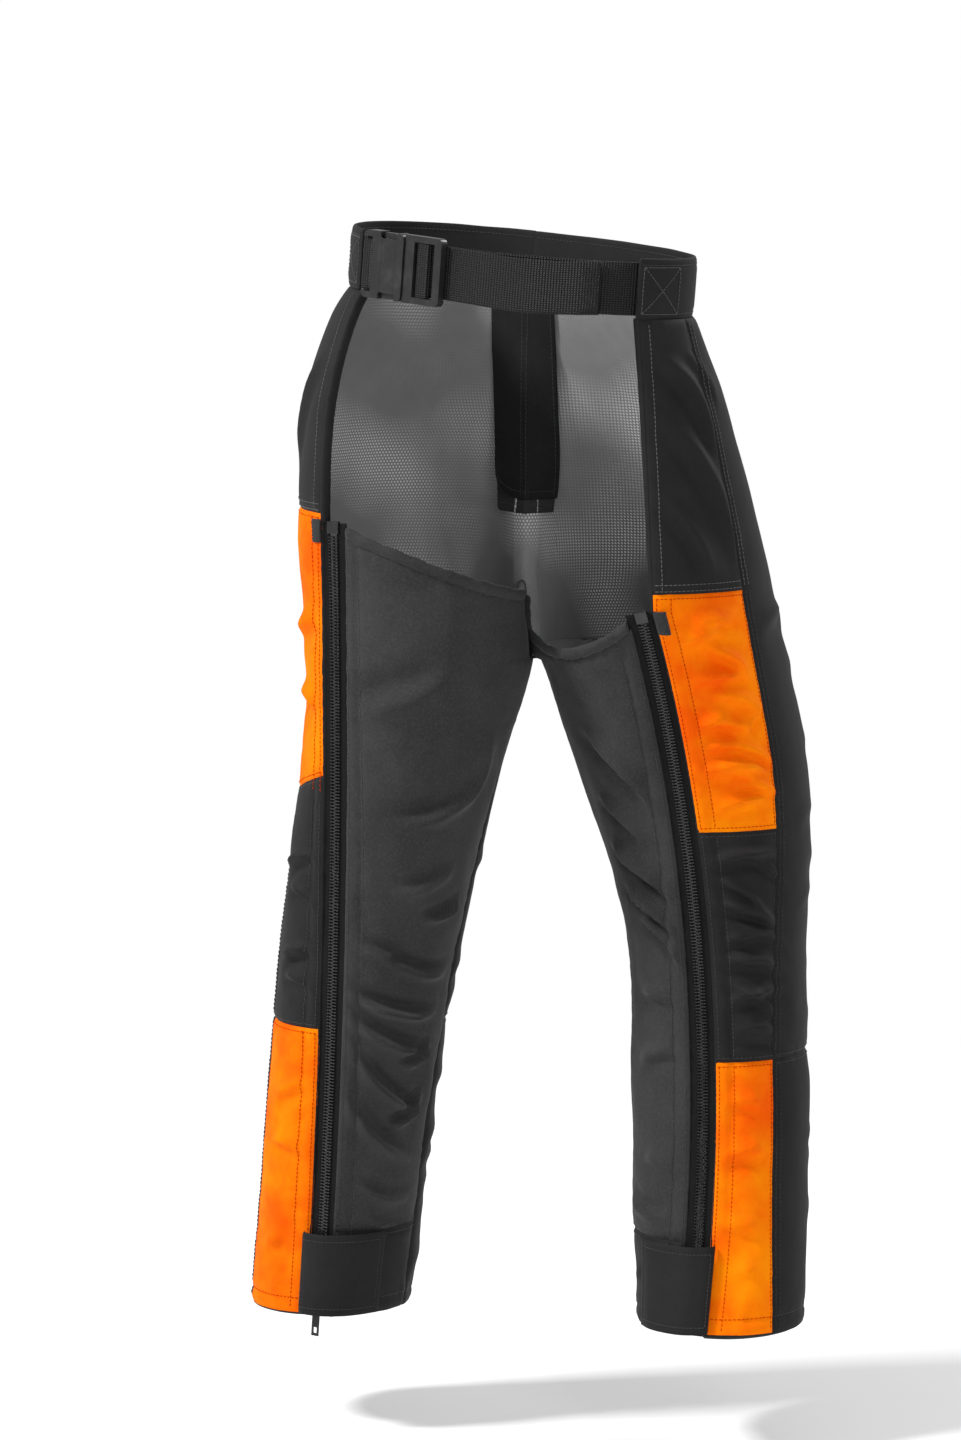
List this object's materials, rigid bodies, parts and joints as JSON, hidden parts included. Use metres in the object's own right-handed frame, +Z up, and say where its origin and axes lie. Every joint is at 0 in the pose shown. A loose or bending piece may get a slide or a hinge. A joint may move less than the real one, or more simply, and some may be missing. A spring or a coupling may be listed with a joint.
{
  "type": "chainsaw chaps",
  "caption": "Wrap-around protective leg covers on a waist belt, open at the seat, with full-length zips, hi-vis side panels and a side-release buckle.",
  "frame": {"origin": "middle of the waist opening at half the height of the waistband", "axes": "+Z up, +Y the way the wearer faces, +X the wearer's right"},
  "size_m": [0.536, 0.3389, 1.0664],
  "materials": {
    "black_fabric": "woven, matt",
    "charcoal_fabric": "brushed, matt",
    "hi_vis_fabric": "ripstop, matt",
    "mesh": "knitted mesh",
    "protective_layers": "layered knit",
    "webbing": "ribbed webbing",
    "zip_tape": "woven tape",
    "zip_chain": "moulded teeth",
    "buckle_plastic": "moulded, satin",
    "slider_metal": "black, satin"
  },
  "bodies": {
    "garment": {"front_panel_left": "black_fabric", "shin_panel_left": "black_fabric", "hip_panel_left": "black_fabric", "knee_side_panel_left": "black_fabric", "cuff_panel_left": "black_fabric", "hi_vis_thigh_panel_left": "hi_vis_fabric", "hi_vis_shin_panel_left": "hi_vis_fabric", "back_panel_left": "charcoal_fabric", "back_binding_left": "charcoal_fabric", "protective_pad_left": "protective_layers", "mesh_lining_left": "mesh", "zip_top_tab_left": "charcoal_fabric", "zip_tape_outer_left": "zip_tape", "zip_chain_outer_left": "zip_chain", "zip_tape_inner_left": "zip_tape", "zip_chain_inner_left": "zip_chain", "zip_retainer_box_left": "zip_chain", "waistband_left": "black_fabric", "front_panel_right": "black_fabric", "shin_panel_right": "black_fabric", "hip_panel_right": "black_fabric", "knee_side_panel_right": "black_fabric", "cuff_panel_right": "black_fabric", "hi_vis_thigh_panel_right": "hi_vis_fabric", "hi_vis_shin_panel_right": "hi_vis_fabric", "back_panel_right": "charcoal_fabric", "back_binding_right": "charcoal_fabric", "protective_pad_right": "protective_layers", "mesh_lining_right": "mesh", "zip_top_tab_right": "charcoal_fabric", "zip_tape_outer_right": "zip_tape", "zip_chain_outer_right": "zip_chain", "zip_tape_inner_right": "zip_tape", "zip_chain_inner_right": "zip_chain", "zip_retainer_box_right": "zip_chain", "waistband_right": "black_fabric", "fly_facing": "black_fabric", "belt_webbing_left": "webbing", "belt_webbing_right": "webbing", "buckle_socket": "buckle_plastic"},
    "slider_left": {"zip_slider_left": "slider_metal"},
    "pull_left": {"zip_pull_left": "slider_metal"},
    "flap_left": {"cuff_flap_left": "black_fabric"},
    "slider_right": {"zip_slider_right": "slider_metal"},
    "pull_right": {"zip_pull_right": "slider_metal"},
    "flap_right": {"cuff_flap_right": "black_fabric"},
    "clip": {"buckle_clip": "buckle_plastic"},
    "prong_upper": {"buckle_prong_upper": "buckle_plastic"},
    "prong_lower": {"buckle_prong_lower": "buckle_plastic"}
  },
  "joints": [
    {"name": "buckle_release", "type": "slide", "parent": "garment", "child": "clip", "axis": [0.9649, -0.2521, -0.0742], "range_m": [0, 0.04], "deforming": ["belt_webbing_right", "buckle_prong_upper", "buckle_prong_lower"]},
    {"name": "prong_squeeze_upper", "type": "hinge", "parent": "clip", "child": "prong_upper", "pos_m": [-0.06749, -0.10551, 0.02475], "axis": [-0.2513, -0.9677, 0.0193], "range_deg": [0, 7], "stiffness_Nm_per_rad": 0.5, "deforming": ["buckle_prong_upper"]},
    {"name": "prong_squeeze_lower", "type": "hinge", "parent": "clip", "child": "prong_lower", "pos_m": [-0.07049, -0.10551, -0.01413], "axis": [0.2513, 0.9677, -0.0193], "range_deg": [0, 7], "stiffness_Nm_per_rad": 0.5, "deforming": ["buckle_prong_lower"]},
    {"name": "zip_run_left", "type": "hinge", "parent": "garment", "child": "slider_left", "pos_m": [-8.389, -0.12111, -0.40608], "axis": [0, -1, -0.0052], "range_deg": [0, 5.12]},
    {"name": "pull_swing_left", "type": "hinge", "parent": "slider_left", "child": "pull_left", "pos_m": [-0.16265, -0.12093, -0.99802], "axis": [-0.9961, 0.0522, 0.0715], "range_deg": [0, 28]},
    {"name": "flap_lift_left", "type": "hinge", "parent": "garment", "child": "flap_left", "pos_m": [-0.17859, -0.11992, -0.9635], "axis": [-0.0685, 0.0017, -0.9976], "range_deg": [0, 120]},
    {"name": "zip_run_right", "type": "hinge", "parent": "garment", "child": "slider_right", "pos_m": [0.07379, -0.93456, -0.68098], "axis": [0.9916, -0.11, 0.0687], "range_deg": [-1.62, 38.85]},
    {"name": "pull_swing_right", "type": "hinge", "parent": "slider_right", "child": "pull_right", "pos_m": [0.19467, -0.03551, -0.97201], "axis": [-0.9736, -0.2248, 0.0402], "range_deg": [0, 11]},
    {"name": "flap_lift_right", "type": "hinge", "parent": "garment", "child": "flap_right", "pos_m": [0.2105, -0.02841, -0.9635], "axis": [-0.0399, 0.3084, 0.9504], "range_deg": [0, 120]}
  ]
}
